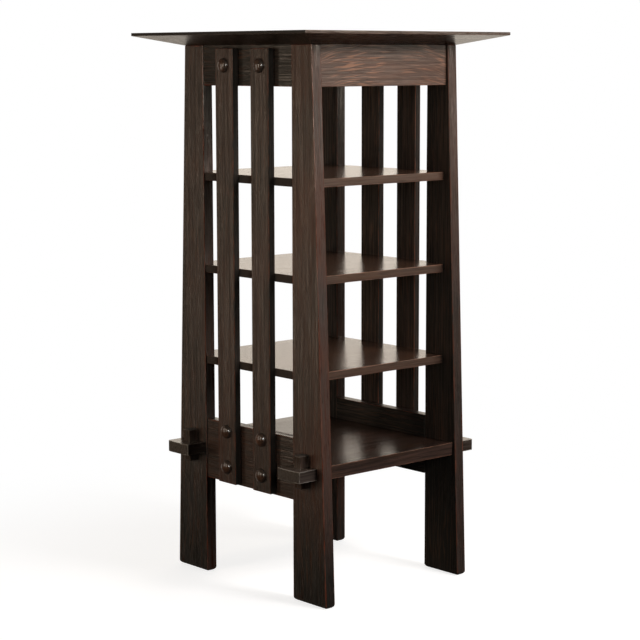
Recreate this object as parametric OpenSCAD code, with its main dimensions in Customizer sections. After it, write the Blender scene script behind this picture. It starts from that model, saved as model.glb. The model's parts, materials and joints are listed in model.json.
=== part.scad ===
// Book stand in dark oak: three thin shelves and a keyed lower shelf between plank legs
// that flare towards the floor, with two slats on each side and a wide bevelled top.
// Millimetres. +Z is up, the open front faces -Y, and the slatted sides face -X and +X.
// The origin is on the floor, at the middle of the four feet.

/* [Overall] */
// Width over the outer faces of the legs, left to right
stand_w = 354; // [300:1:460]
// Free distance between a front leg and the back leg behind it
side_opening = 250; // [200:1:320]

/* [Top] */
// Overhang of the top past the legs' outer faces, left and right
overhang_side = 73; // [40:1:90]
// Overhang of the top past the legs' upper ends, front and back
overhang_front = 68; // [40:1:90]
// Thickness of the top over the legs
top_t = 23; // [19:0.5:30]
// Height of the thin upright edge that the underside bevel leaves
top_edge = 5.5; // [3:0.5:10]

/* [Legs] */
// Thickness of a leg plank
leg_t = 22; // [20:0.5:28]
// Width of a leg plank under the top
leg_top_w = 53; // [49:1:65]
// Width of a leg plank at the floor
leg_foot_w = 89; // [80:1:120]
// Size of the worn bevel round the foot of a leg
foot_ease = 2.5; // [1:0.5:5]

/* [Aprons and side rails] */
// Thickness of the aprons and side rails
rail_t = 20; // [18:0.5:24]
// Height of the aprons under the top
apron_h = 73; // [60:1:90]
// Height of the side rails at the keyed shelf
rail_h = 113; // [100:1:140]
// Height of the side rails' lower edge above the floor
rail_z = 184; // [120:1:260]
// Step from a leg's outer face back to a side rail's face
rail_set = 3; // [1:0.5:4]
// Step from a leg's upper end back to the front apron's face
apron_set = 4; // [2:0.5:6]
// Thickness of the stub tenons on aprons and rails
stub_t = 8; // [6:0.5:9]
// Length of the side rails' tenons into the legs' edges
side_stub_l = 25; // [15:1:30]
// Length of the front and back aprons' tenons into the legs' faces
front_stub_l = 12; // [8:1:14]
// Shoulder above and below a stub tenon
stub_shoulder = 10; // [6:1:12]

/* [Slats] */
// Width of a side slat
slat_w = 50; // [40:1:60]
// Thickness of a side slat
slat_t = 13.5; // [12:0.5:18]
// Gap between a slat's upper end and the underside of the top
slat_top_gap = 6; // [4:0.5:14]
// Height of a slat's lower end above the side rail's lower edge
slat_rise = 3; // [0:0.5:8]

/* [Plugs and screws] */
// Diameter of the domed plugs over the slat screws
plug_d = 26; // [18:0.5:28]
// Depth of a plug's seat in the slat
plug_depth = 6; // [4:0.5:7]
// Height of the dome above the slat's face
plug_dome = 8.5; // [4:0.5:12]
// Distance from a side rail's upper edge down to the upper plug's centre
plug_drop = 12.5; // [10:0.5:20]
// Distance from a side rail's lower edge up to the lower plug's centre
plug_rise = 34; // [24:1:40]
// Diameter of a screw's shank
screw_d = 4; // [3:0.5:5]
// Diameter of a screw's countersunk head
screw_head_d = 8; // [6.5:0.5:10]
// Height of a screw's countersunk head
screw_head_h = 3; // [2:0.5:4]
// Depth that a slat screw reaches into its rail
screw_bite = 15; // [10:1:16]

/* [Shelves] */
// Thickness of the three thin shelves
shelf_t = 15; // [12:0.5:18]
// Clear height of the bay on the keyed shelf
bay_low_h = 147.5; // [120:0.5:260]
// Clear height of each of the two bays above it
bay_mid_h = 156.5; // [120:0.5:260]
// Clear height of the top bay, up to the apron
bay_top_h = 159.5; // [120:0.5:260]
// Step from the legs' upper ends back to the shelves' front edges
shelf_set = 8; // [4:1:15]
// Depth of the stopped housings that hold a shelf's corners
housing = 5; // [3:0.5:6]

/* [Keyed shelf] */
// Thickness of the keyed shelf
keyed_t = 24; // [22:0.5:28]
// Distance from a side rail's upper edge down to the keyed shelf's upper face
keyed_drop = 42; // [38:1:46]
// Step from the legs' outer edges back to the keyed shelf's front edge
keyed_set = 6; // [3:1:12]
// Thickness of a through tenon
tenon_t = 20.5; // [16:0.5:22]
// Width of a through tenon
tenon_w = 60; // [50:1:66]
// Distance from a leg's inner edge to the near side of the tenon
tenon_in = 5; // [4:0.5:8]
// Length that a tenon stands out past the leg
tenon_out = 44; // [36:1:50]
// Height of the curve across a tenon's end
tenon_bow = 3; // [2:0.5:6]
// Radius of the upright corners of a tenon's end
tenon_round = 2.5; // [2:0.5:8]
// Bevel along the arrises of a tenon's end
tenon_bevel = 1.5; // [0.5:0.5:3]

/* [Keys] */
// Width of a key, front to back
key_w = 18; // [14:1:22]
// Thickness of a key at its upper end
key_t = 21; // [16:1:22]
// Amount that a key thins from its upper to its lower end
key_taper = 2.5; // [1:0.5:4]
// Length of a key above the tenon
key_up = 22.5; // [15:0.5:35]
// Length of a key below the tenon
key_down = 18; // [10:0.5:30]
// Bevel round both ends of a key
key_bevel = 1.5; // [0.5:0.5:3]

/* [Cleats] */
// Side of the square cleats that hold the top
cleat_s = 20; // [16:1:24]
// Length of a cleat
cleat_l = 240; // [180:1:270]
// Distance of the screws into the top from a cleat's ends
cleat_top_in = 30; // [20:1:40]
// Distance of the screws into the apron from a cleat's ends
cleat_side_in = 60; // [50:1:70]
// Depth that a cleat's screws reach past the cleat
cleat_bite = 12; // [8:1:14]

/* [Hidden] */
$fn = 48;
// Play of a glued joint, of a key in its mortise, and past the end of a hidden tenon
play = 0.1;
key_play = 0.05;
glue_gap = 1;
screw_play = 0.05;
// Steps of a plug's crown from rim to middle, and its fullness: 1 is a ball's, less is fuller
plug_steps = 12;
plug_fullness = 0.8;
// Length of a screw's point, and the slot across its head
screw_tip = 4;
slot_w = 1.2;
slot_depth = 1;
// Length that a cutting shape runs past the wood it cuts
cut = 1;

// Places from left to right, measured from the middle
leg_out_x = stand_w / 2;
leg_in_x = leg_out_x - leg_t;
rail_out_x = leg_out_x - rail_set;
rail_in_x = rail_out_x - rail_t;
slat_out_x = rail_out_x + slat_t;
tenon_end_x = leg_out_x + tenon_out;
top_x = leg_out_x + overhang_side;

// Places from front to back, measured from the middle
leg_in_y = side_opening / 2;
leg_top_y = leg_in_y + leg_top_w;
leg_foot_y = leg_in_y + leg_foot_w;
apron_out_y = leg_top_y - apron_set;
apron_in_y = apron_out_y - rail_t;
shelf_y = leg_top_y - shelf_set;
tenon_y = leg_in_y + tenon_in + tenon_w / 2;
top_y = leg_top_y + overhang_front;
slat_gap = (side_opening - 2 * slat_w) / 3;
slat_y = (slat_gap + slat_w) / 2;

// Heights above the floor, from the rails up
rail_top_z = rail_z + rail_h;
keyed_z = rail_top_z - keyed_drop;
tenon_z = keyed_z - keyed_t;
shelf_lower_z = keyed_z + bay_low_h + shelf_t;
shelf_middle_z = shelf_lower_z + bay_mid_h + shelf_t;
shelf_upper_z = shelf_middle_z + bay_mid_h + shelf_t;
apron_z = shelf_upper_z + bay_top_h;
leg_h = apron_z + apron_h;
stand_h = leg_h + top_t;
slat_top_z = leg_h - slat_top_gap;

// Outer edge of a leg at height z
function leg_y(z) = leg_foot_y - (leg_foot_w - leg_top_w) * z / leg_h;
keyed_y = leg_y(keyed_z) - keyed_set;

// Heights of the shelves' upper faces, and of the plugs on each slat
shelf_heights = [shelf_lower_z, shelf_middle_z, shelf_upper_z];
plug_heights = [rail_z + plug_rise, rail_top_z - plug_drop, apron_z + apron_h / 2];

// The stub tenons, each as its lower and upper end
apron_stubs = [[apron_z + stub_shoulder, leg_h - stub_shoulder]];
rail_stubs = [
    [rail_z + stub_shoulder, tenon_z - stub_shoulder],
    [tenon_z + tenon_t + stub_shoulder, rail_top_z - stub_shoulder]
];
side_stub_x = (rail_out_x + rail_in_x) / 2;
front_stub_y = (apron_out_y + apron_in_y) / 2;

// The keys: their ends, and their outer face at height z
key_low_z = tenon_z - key_down;
key_high_z = tenon_z + tenon_t + key_up;
function key_x(z) = leg_out_x + key_t - key_taper * (key_high_z - z) / (key_high_z - key_low_z);

oak_dark = "#3a2d27";
oak_top = "#453831";
oak_warm = "#4f3b30";
oak_edge = "#5b4a41";
plug_brown = "#59453a";
cleat_brown = "#6b5442";
steel = "#7d7a75";

// Placing

// Moves the right back quarter's shape to another quarter: side is -1 left, end is -1 front
module quarter(side, end)
    mirror([side < 0 ? 1 : 0, 0, 0]) mirror([0, end < 0 ? 1 : 0, 0]) children();

// Box between two corners
module box(low, high)
    translate(low) cube(high - low);

// Prism of a profile in X and Z, from y0 to y1
module along_y(y0, y1)
    translate([0, y1, 0]) rotate([90, 0, 0]) linear_extrude(y1 - y0) children();

// Prism of a profile in Y and Z, from x0 to x1
module along_x(x0, x1)
    translate([x0, 0, 0]) rotate([90, 0, 90]) linear_extrude(x1 - x0) children();

// Screws and plugs, which stand on Z with the head's face at z = 0

// Countersunk screw that reaches length below its head's face
module screw(length) {
    difference() {
        rotate_extrude()
            polygon([
                [0, 0], [screw_head_d / 2, 0], [screw_d / 2, -screw_head_h],
                [screw_d / 2, screw_tip - length], [0, -length]
            ]);
        box([-screw_head_d, -slot_w / 2, -slot_depth], [screw_head_d, slot_w / 2, cut]);
    }
}

// Hole and countersink for that screw
module screw_hole(length) {
    translate([0, 0, -length - cut]) cylinder(r = screw_d / 2 + screw_play, h = length + cut);
    translate([0, 0, -screw_head_h])
        cylinder(r1 = screw_d / 2 + screw_play, r2 = screw_head_d / 2 + screw_play, h = screw_head_h);
}

// Plug whose flat back lies at z = 0. Its crown is fuller at the shoulder than a ball's
module plug() {
    r = plug_d / 2;
    rotate_extrude()
        polygon([
            [0, 0], [r, 0],
            for (i = [0:plug_steps - 1])
                let (a = 90 * i / plug_steps)
                    [r * pow(cos(a), plug_fullness), plug_depth + plug_dome * pow(sin(a), plug_fullness)],
            [0, plug_depth + plug_dome]
        ]);
}

// Places a shape of those at each plug on the two slats of a side, facing out of it
module at_plugs(side, ends = [-1, 1])
    for (end = ends, z = plug_heights)
        quarter(side, end)
            translate([slat_out_x - plug_depth, slat_y, z]) rotate([0, 90, 0]) children();

slat_screw_l = slat_t - plug_depth + screw_bite;

// Top

// Outline of the top across one of its two directions
module top_profile(half, flat)
    polygon([
        [-half, stand_h], [half, stand_h], [half, stand_h - top_edge],
        [flat, leg_h], [-flat, leg_h], [-half, stand_h - top_edge]
    ]);

module top_board()
    color(oak_top)
    difference() {
        intersection() {
            along_y(-top_y, top_y) top_profile(top_x, leg_out_x);
            along_x(-top_x, top_x) top_profile(top_y, leg_top_y);
        }
        at_top_screws() screw_hole(cleat_s + cleat_bite);
    }

// Legs

// Outline of a leg seen from the side, with its foot's corners worn off
module leg_outline()
    polygon([
        [leg_in_y, leg_h], [leg_top_y, leg_h],
        [leg_y(foot_ease), foot_ease], [leg_foot_y - foot_ease, 0],
        [leg_in_y + foot_ease, 0], [leg_in_y, foot_ease]
    ]);

// Outline of a leg seen from the front
module leg_edge_outline()
    polygon([
        [leg_in_x, leg_h], [leg_out_x, leg_h], [leg_out_x, foot_ease],
        [leg_out_x - foot_ease, 0], [leg_in_x + foot_ease, 0], [leg_in_x, foot_ease]
    ]);

module leg(side, end)
    color(oak_dark)
    quarter(side, end)
        difference() {
            intersection() {
                along_x(leg_in_x, leg_out_x) leg_outline();
                along_y(leg_in_y, leg_foot_y) leg_edge_outline();
            }
            // Mortises in the inner edge for the side apron and the side rail
            for (stub = concat(apron_stubs, rail_stubs))
                box([side_stub_x - stub_t / 2 - play, leg_in_y - cut, stub[0] - play],
                    [side_stub_x + stub_t / 2 + play, leg_in_y + side_stub_l + glue_gap, stub[1] + play]);
            // Mortise in the inner face for the front or back apron
            for (stub = apron_stubs)
                box([leg_in_x - cut, front_stub_y - stub_t / 2 - play, stub[0] - play],
                    [leg_in_x + front_stub_l + glue_gap, front_stub_y + stub_t / 2 + play, stub[1] + play]);
            // Stopped housings for the thin shelves
            for (z = shelf_heights)
                box([leg_in_x - cut, leg_in_y - cut, z - shelf_t - play],
                    [leg_in_x + housing + play, shelf_y + play, z + play]);
            // Through mortise for the keyed shelf
            box([leg_in_x - cut, tenon_y - tenon_w / 2 - play, tenon_z - play],
                [leg_out_x + cut, tenon_y + tenon_w / 2 + play, tenon_z + tenon_t + play]);
        }

// Aprons and side rails

// Board between the legs of one side, with a stub tenon into each leg for every pair in stubs
module side_board(side, z0, z1, stubs, screw_heights)
    difference() {
        mirror([side < 0 ? 1 : 0, 0, 0])
            union() {
                box([rail_in_x, -leg_in_y, z0], [rail_out_x, leg_in_y, z1]);
                for (stub = stubs)
                    box([side_stub_x - stub_t / 2, -leg_in_y - side_stub_l, stub[0]],
                        [side_stub_x + stub_t / 2, leg_in_y + side_stub_l, stub[1]]);
            }
        for (end = [-1, 1], z = screw_heights)
            quarter(side, end)
                translate([slat_out_x - plug_depth, slat_y, z]) rotate([0, 90, 0])
                    screw_hole(slat_screw_l);
    }

// Board between the two front or the two back legs
module apron(end)
    color(oak_edge)
    difference() {
        mirror([0, end < 0 ? 1 : 0, 0])
            union() {
                box([-leg_in_x, apron_in_y, apron_z], [leg_in_x, apron_out_y, leg_h]);
                for (stub = apron_stubs)
                    box([-leg_in_x - front_stub_l, front_stub_y - stub_t / 2, stub[0]],
                        [leg_in_x + front_stub_l, front_stub_y + stub_t / 2, stub[1]]);
            }
        at_cleat_screws() screw_hole(cleat_s + cleat_bite);
    }

module side_apron(side)
    color(oak_dark) side_board(side, apron_z, leg_h, apron_stubs, [plug_heights[2]]);

module side_rail(side)
    color(oak_dark) side_board(side, rail_z, rail_top_z, rail_stubs, [plug_heights[0], plug_heights[1]]);

// Slats, their plugs and their screws

module slat(side, end)
    color(oak_dark)
    difference() {
        quarter(side, end)
            box([rail_out_x, slat_y - slat_w / 2, rail_z + slat_rise],
                [slat_out_x, slat_y + slat_w / 2, slat_top_z]);
        at_plugs(side, [end]) {
            cylinder(r = plug_d / 2 + play, h = plug_depth + cut);
            screw_hole(slat_screw_l);
        }
    }

module plugs(side)
    color(plug_brown) at_plugs(side) plug();

module slat_screws(side)
    color(steel) at_plugs(side) screw(slat_screw_l);

// Thin shelves

module shelf(z)
    color(oak_warm)
    union() {
        box([-rail_out_x, -leg_in_y + play, z - shelf_t], [rail_out_x, leg_in_y - play, z]);
        box([-leg_in_x - housing, -shelf_y, z - shelf_t], [leg_in_x + housing, shelf_y, z]);
    }

// Keyed shelf

// Outline from above of the right back tenon, with its bowed end and rounded corners
module tenon_plan() {
    bow_r = (tenon_w * tenon_w / 4 + tenon_bow * tenon_bow) / (2 * tenon_bow);
    corner_x = tenon_end_x - tenon_bow - tenon_round;
    corner_y = tenon_w / 2 - tenon_round;
    translate([0, tenon_y])
        intersection() {
            translate([tenon_end_x - bow_r, 0]) circle(bow_r, $fn = 360);
            union() {
                translate([0, -tenon_w / 2]) square([corner_x, tenon_w]);
                translate([0, -corner_y]) square([tenon_end_x, 2 * corner_y]);
                for (s = [-1, 1])
                    translate([corner_x, s * corner_y]) circle(tenon_round);
            }
        }
}

// Outline of a tenon seen from the front, with the arrises of its end taken off
module tenon_side_profile()
    polygon([
        [0, tenon_z], [tenon_end_x - tenon_bevel, tenon_z], [tenon_end_x, tenon_z + tenon_bevel],
        [tenon_end_x, tenon_z + tenon_t - tenon_bevel], [tenon_end_x - tenon_bevel, tenon_z + tenon_t],
        [0, tenon_z + tenon_t]
    ]);

// Mortise through a tenon: it starts inside the leg, so the key bears on the leg's face
module key_mortise() {
    relief_x = leg_out_x - rail_set;
    z0 = tenon_z - cut;
    z1 = tenon_z + tenon_t + cut;
    along_y(tenon_y - key_w / 2 - play, tenon_y + key_w / 2 + play)
        polygon([
            [relief_x, z0], [key_x(z0) + key_play, z0], [key_x(z1) + key_play, z1], [relief_x, z1]
        ]);
}

module keyed_shelf()
    color(oak_warm)
    difference() {
        union() {
            box([-rail_in_x, -leg_in_y, tenon_z], [rail_in_x, leg_in_y, keyed_z]);
            for (end = [-1, 1])
                quarter(1, end)
                    box([-leg_in_x, leg_in_y, tenon_z], [leg_in_x, keyed_y, keyed_z]);
            for (side = [-1, 1], end = [-1, 1])
                quarter(side, end)
                    intersection() {
                        translate([0, 0, tenon_z]) linear_extrude(tenon_t) tenon_plan();
                        along_y(leg_in_y, leg_foot_y) tenon_side_profile();
                    }
        }
        for (side = [-1, 1], end = [-1, 1])
            quarter(side, end) key_mortise();
    }

// Keys: each is a wedge that bears on the leg's face and on the outer wall of its mortise
module key(side, end)
    color(oak_edge)
    quarter(side, end)
        intersection() {
            along_y(tenon_y - key_w / 2, tenon_y + key_w / 2)
                polygon([
                    [leg_out_x + key_play, key_low_z + key_bevel],
                    [leg_out_x + key_play + key_bevel, key_low_z],
                    [key_x(key_low_z) - key_bevel, key_low_z],
                    [key_x(key_low_z + key_bevel), key_low_z + key_bevel],
                    [key_x(key_high_z - key_bevel), key_high_z - key_bevel],
                    [key_x(key_high_z) - key_bevel, key_high_z],
                    [leg_out_x + key_play + key_bevel, key_high_z],
                    [leg_out_x + key_play, key_high_z - key_bevel]
                ]);
            along_x(leg_out_x, leg_out_x + key_t)
                translate([tenon_y, 0])
                    polygon([
                        [-key_w / 2, key_low_z + key_bevel], [-key_w / 2 + key_bevel, key_low_z],
                        [key_w / 2 - key_bevel, key_low_z], [key_w / 2, key_low_z + key_bevel],
                        [key_w / 2, key_high_z - key_bevel], [key_w / 2 - key_bevel, key_high_z],
                        [-key_w / 2 + key_bevel, key_high_z], [-key_w / 2, key_high_z - key_bevel]
                    ]);
        }

// Cleats that hold the top, and their screws

module cleat(end)
    color(cleat_brown)
    difference() {
        mirror([0, end < 0 ? 1 : 0, 0])
            box([-cleat_l / 2, apron_in_y - cleat_s, leg_h - cleat_s], [cleat_l / 2, apron_in_y, leg_h]);
        at_cleat_screws() screw_hole(cleat_s + cleat_bite);
        at_top_screws() screw_hole(cleat_s + cleat_bite);
    }

// Places a screw at each hole from a cleat into its apron
module at_cleat_screws()
    for (side = [-1, 1], end = [-1, 1])
        quarter(side, end)
            translate([cleat_l / 2 - cleat_side_in, apron_in_y - cleat_s, leg_h - cleat_s / 2])
                rotate([90, 0, 0]) children();

// Places a screw at each hole from a cleat up into the top
module at_top_screws()
    for (side = [-1, 1], end = [-1, 1])
        quarter(side, end)
            translate([cleat_l / 2 - cleat_top_in, apron_in_y - cleat_s / 2, leg_h - cleat_s])
                rotate([180, 0, 0]) children();

module cleat_screws()
    color(steel) at_cleat_screws() screw(cleat_s + cleat_bite);

module top_screws()
    color(steel) at_top_screws() screw(cleat_s + cleat_bite);

top_board();
leg(-1, -1);  // leg_front_left
leg(1, -1);  // leg_front_right
leg(-1, 1);  // leg_back_left
leg(1, 1);  // leg_back_right
apron(-1);  // apron_front
apron(1);  // apron_back
side_apron(-1);  // apron_left
side_apron(1);  // apron_right
side_rail(-1);  // rail_left
side_rail(1);  // rail_right
slat(-1, -1);  // slat_left_front
slat(-1, 1);  // slat_left_back
slat(1, -1);  // slat_right_front
slat(1, 1);  // slat_right_back
plugs(-1);  // plugs_left
plugs(1);  // plugs_right
slat_screws(-1);  // slat_screws_left
slat_screws(1);  // slat_screws_right
shelf(shelf_upper_z);  // shelf_upper
shelf(shelf_middle_z);  // shelf_middle
shelf(shelf_lower_z);  // shelf_lower
keyed_shelf();
key(-1, -1);  // key_front_left
key(1, -1);  // key_front_right
key(-1, 1);  // key_back_left
key(1, 1);  // key_back_right
cleat(-1);  // cleat_front
cleat(1);  // cleat_back
cleat_screws();
top_screws();
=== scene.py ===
# %% [markdown]
# # Book stand in dark fumed oak
#
# The stand has three thin shelves and a thicker keyed shelf between four plank legs, two slats
# on each side, and a wide top with a deep bevel under its edges. Its construction comes packed
# from the CAD step. This notebook puts the wood's surface on it: rounded arrises, figure,
# wax and wear. Each code cell is small and prints what it made.

# %% [markdown]
# ## The frame
#
# The imported model is loaded first and never moved. Every measure below is read from it, so a piece made here
# lies where the CAD piece lies.

import json
import math
import random

import bmesh
import bpy
from mathutils import Matrix, Vector


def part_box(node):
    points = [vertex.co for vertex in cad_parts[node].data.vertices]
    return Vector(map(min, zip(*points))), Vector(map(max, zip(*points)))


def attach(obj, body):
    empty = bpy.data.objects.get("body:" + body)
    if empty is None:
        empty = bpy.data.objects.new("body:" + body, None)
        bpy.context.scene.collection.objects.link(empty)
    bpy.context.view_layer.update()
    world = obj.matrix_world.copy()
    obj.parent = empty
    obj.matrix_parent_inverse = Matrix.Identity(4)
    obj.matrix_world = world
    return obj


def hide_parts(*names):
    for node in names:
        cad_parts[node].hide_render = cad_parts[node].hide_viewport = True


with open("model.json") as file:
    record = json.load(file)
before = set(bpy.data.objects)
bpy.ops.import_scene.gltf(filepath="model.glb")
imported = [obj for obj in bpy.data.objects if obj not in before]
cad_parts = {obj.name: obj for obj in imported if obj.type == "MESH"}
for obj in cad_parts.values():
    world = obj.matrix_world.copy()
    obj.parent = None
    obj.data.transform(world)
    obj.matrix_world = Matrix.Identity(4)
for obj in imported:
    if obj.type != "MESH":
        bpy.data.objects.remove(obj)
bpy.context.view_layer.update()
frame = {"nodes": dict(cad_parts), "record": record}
MM = 0.001
slot_of = {s["node"]: s["material_slot"] for s in frame["record"]["subparts"]}
body_of = {n: b for b, members in frame["record"]["behaviour"]["bodies"].items() for n in members}

# %% [markdown]
# ## Camera
#
# The view is a pinhole camera that was fitted to the outline of the real stand: its place, the
# way it faces and its focal length. A look-at helper would lose the small roll, so the turn is
# built from the three directions of the camera's own axes.

# %% Camera
def new_object(name, data):
    """A new object, linked to the scene."""
    obj = bpy.data.objects.new(name, data)
    bpy.context.scene.collection.objects.link(obj)
    return obj


CAMERA_PLACE = Vector((-2.3113, -2.6098, 0.9689))
YAW, PITCH, ROLL = (math.radians(a) for a in (41.52, -7.97, -0.10))
FOCAL_PX, FRAME_PX, SENSOR_MM = 1868.6, 640, 36.0

ahead = Vector((math.sin(YAW) * math.cos(PITCH), math.cos(YAW) * math.cos(PITCH), math.sin(PITCH)))
level = Vector((math.cos(YAW), -math.sin(YAW), 0))
upright = level.cross(ahead)
right = level * math.cos(ROLL) + upright * math.sin(ROLL)
up = upright * math.cos(ROLL) - level * math.sin(ROLL)

camera = new_object("camera", bpy.data.cameras.new("camera"))
camera.matrix_world = Matrix.Translation(CAMERA_PLACE) @ Matrix((right, up, -ahead)).transposed().to_4x4()
camera.data.sensor_width = SENSOR_MM
camera.data.lens = FOCAL_PX / FRAME_PX * SENSOR_MM
bpy.context.scene.camera = camera
bpy.context.scene.view_settings.view_transform = "Standard"
print("camera lens", round(camera.data.lens, 1), "mm,", round(CAMERA_PLACE.length, 2), "m from the origin")

# %% [markdown]
# ## Four helpers
#
# Colours are picked as sRGB hex codes, and Blender's sockets take linear values, so one
# function turns the one into the other. Another adds a node, sets its properties, and fills
# its inputs with values or links. Every tree below is made with it. The third empties a tree,
# and the last gives a group of nodes its inputs or outputs.


# %% Helpers for colours and nodes
# The kinds of node used most, and the setting for a range with soft ends
MATH, VECTOR_MATH, MAP_RANGE = "ShaderNodeMath", "ShaderNodeVectorMath", "ShaderNodeMapRange"
SEPARATE, COMBINE = "ShaderNodeSeparateXYZ", "ShaderNodeCombineXYZ"
SMOOTH = {"interpolation_type": "SMOOTHSTEP"}


def paint(code):
    """The linear colour, with alpha, of an sRGB hex code."""
    parts = [int(code[i : i + 2], 16) / 255 for i in (1, 3, 5)]
    return (*(c / 12.92 if c <= 0.04045 else ((c + 0.055) / 1.055) ** 2.4 for c in parts), 1.0)


def add(tree, kind, inputs=(), operation=None, **settings):
    """Adds a node. Its inputs come in order, or named or numbered in a dict. Each is a value, an output
    to link, a node whose first output is linked, or a list of such."""
    node = tree.nodes.new(kind)
    if operation:
        node.operation = operation
    for name, value in settings.items():
        setattr(node, name, value)
    for key, value in inputs.items() if isinstance(inputs, dict) else enumerate(inputs):
        if isinstance(value, (bpy.types.Node, bpy.types.NodeSocket)):
            value = [value]
        if isinstance(value, list):
            for source in value:
                output = source.outputs[0] if isinstance(source, bpy.types.Node) else source
                tree.links.new(output, node.inputs[key])
        else:
            node.inputs[key].default_value = value
    return node


def bare_tree(owner):
    """The node tree of a material or a world, emptied."""
    owner.use_nodes = True
    owner.node_tree.nodes.clear()
    return owner.node_tree


def sockets(tree, way, kind, *names):
    """Gives a group these inputs or outputs, in order."""
    for name in names:
        tree.interface.new_socket(name, in_out=way, socket_type="NodeSocket" + kind)


print("oak brown is", [round(c, 4) for c in paint("#3b2e25")], "in linear values")

# %% [markdown]
# ## Light and floor
#
# The real stand was pictured before a white sweep: very bright behind it, a lamp and a soft
# window to the front, and a weaker strip and card to the left and rear. Dark waxed wood shows
# mostly what it reflects, so the world holds the sweep and the rear wall as a function of
# direction, and area lights add what casts shadows. The lamp stands high and near, so the
# fronts darken towards the floor. A spark beside the camera has no part in the diffuse
# light: it only puts the bright points on the polished plugs. The camera itself sees plain
# white. The floor is pale, takes soft shadows near the feet and fades into the white.

# %% World
SKY = {"sweep": 1.25, "paper": 1.2, "rear_wall": 0.04, "room": 0.004}

world = bpy.data.worlds.new("studio")
bpy.context.scene.world = world
tree = bare_tree(world)
direction = add(tree, "ShaderNodeTexCoord").outputs["Generated"]
height = add(tree, SEPARATE, {0: direction}).outputs["Z"]


def glow_towards(way, edge, full, low, high, below, above):
    """A bright patch of the room around a direction. It starts at edge and is full at full, both as
    cosines, and its strength goes from below to above between two heights."""
    near = add(tree, VECTOR_MATH, (direction, Vector(way).normalized()), "DOT_PRODUCT")
    patch = add(tree, MAP_RANGE, (near.outputs["Value"], edge, full), **SMOOTH)
    step = add(tree, MAP_RANGE, (height, low, high, below, above), **SMOOTH)
    return add(tree, MATH, (patch, step), "MULTIPLY")


BEHIND, LEFT_REAR = (0.66, 0.745, 0), (-0.66, 0.74, 0)
behind = glow_towards(BEHIND, edge=0.45, full=0.9, low=-0.12, high=0.0, below=SKY["paper"], above=SKY["sweep"])
rear = glow_towards(LEFT_REAR, edge=0.5, full=0.85, low=-0.2, high=-0.14, below=0.0, above=SKY["rear_wall"])
level_of = add(tree, MATH, (behind, rear), "ADD")
level_of = add(tree, MATH, (level_of, SKY["room"]), "ADD")
studio = add(tree, "ShaderNodeBackground", {"Color": paint("#fff3e4"), "Strength": level_of})
seen = add(tree, "ShaderNodeBackground", {"Color": paint("#ffffff"), "Strength": 1.0})
ray = add(tree, "ShaderNodeLightPath").outputs["Is Camera Ray"]
both = add(tree, "ShaderNodeMixShader", (ray, studio, seen))
add(tree, "ShaderNodeOutputWorld", {"Surface": both})
print("world with", len(tree.nodes), "nodes")

# %% Lamps
# name: (place, aim, width and height, power in watts, colour)
LAMPS = {
    "lamp_front": ((0.5, -2.2, 1.95), (0, 0, 0.8), (0.6, 0.6), 36.0, "#fbfaff"),
    "window_front_right": ((1.8, -2.5, 1.45), (0, 0, 0.85), (1.3, 1.4), 22.0, "#ffffff"),
    "strip_left": ((-2.95, 0.5, 0.95), (0, 0, 0.6), (0.5, 1.4), 16.0, "#fff0de"),
    "card_left_rear": ((-1.6, 1.22, 0.575), (-0.17, -0.1, 0.7), (0.55, 1.15), 3.5, "#fff4e6"),
    "spark_by_camera": ((-1.85, -2.9, 1.5), (0, 0, 0.6), (0.75, 0.75), 125.0, "#ffffff"),
}
for name, (place, aim, size, power, colour) in LAMPS.items():
    lamp = new_object(name, bpy.data.lights.new(name, "AREA"))
    lamp.data.shape = "RECTANGLE"
    lamp.data.size, lamp.data.size_y = size
    lamp.data.energy = power
    lamp.data.color = paint(colour)[:3]
    lamp.location = place
    lamp.rotation_euler = (Vector(aim) - Vector(place)).to_track_quat("-Z", "Y").to_euler()
    lamp.visible_camera = False
    lamp.visible_diffuse = not name.startswith("spark")
print("lamps:", ", ".join(LAMPS))

# %% Floor
FLOOR_HALF = 6.0
FADE_FROM, FADE_TO = 0.25, 1.1  # metres from the middle, where shadows fade into plain white
PAPER_GLOW = 0.78  # light that comes through the paper, so that shadows stay soft
floor_mesh = bpy.data.meshes.new("floor")
corners = [(x * FLOOR_HALF, y * FLOOR_HALF, 0) for x, y in ((-1, -1), (1, -1), (1, 1), (-1, 1))]
floor_mesh.from_pydata(corners, [], [(0, 1, 2, 3)])
floor = new_object("floor", floor_mesh)
floor.visible_glossy = floor.visible_diffuse = False
paper = bpy.data.materials.new("White paper sweep")
tree = bare_tree(paper)
place = add(tree, "ShaderNodeTexCoord").outputs["Object"]
distance = add(tree, VECTOR_MATH, {0: place}, "LENGTH").outputs["Value"]
fade = add(tree, MAP_RANGE, (distance, FADE_FROM, FADE_TO), **SMOOTH)
shade = add(tree, "ShaderNodeBsdfDiffuse", {"Color": paint("#c8c6c3")})
glow = add(tree, "ShaderNodeEmission", {"Color": paint("#ffffff"), "Strength": 1.0})
backed = add(tree, "ShaderNodeEmission", {"Color": paint("#ffffff"), "Strength": PAPER_GLOW})
near = add(tree, "ShaderNodeAddShader", (shade, backed))
mixed = add(tree, "ShaderNodeMixShader", (fade, near, glow))
add(tree, "ShaderNodeOutputMaterial", {"Surface": mixed})
floor_mesh.materials.append(paper)
print("floor", 2 * FLOOR_HALF, "m square")
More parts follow.
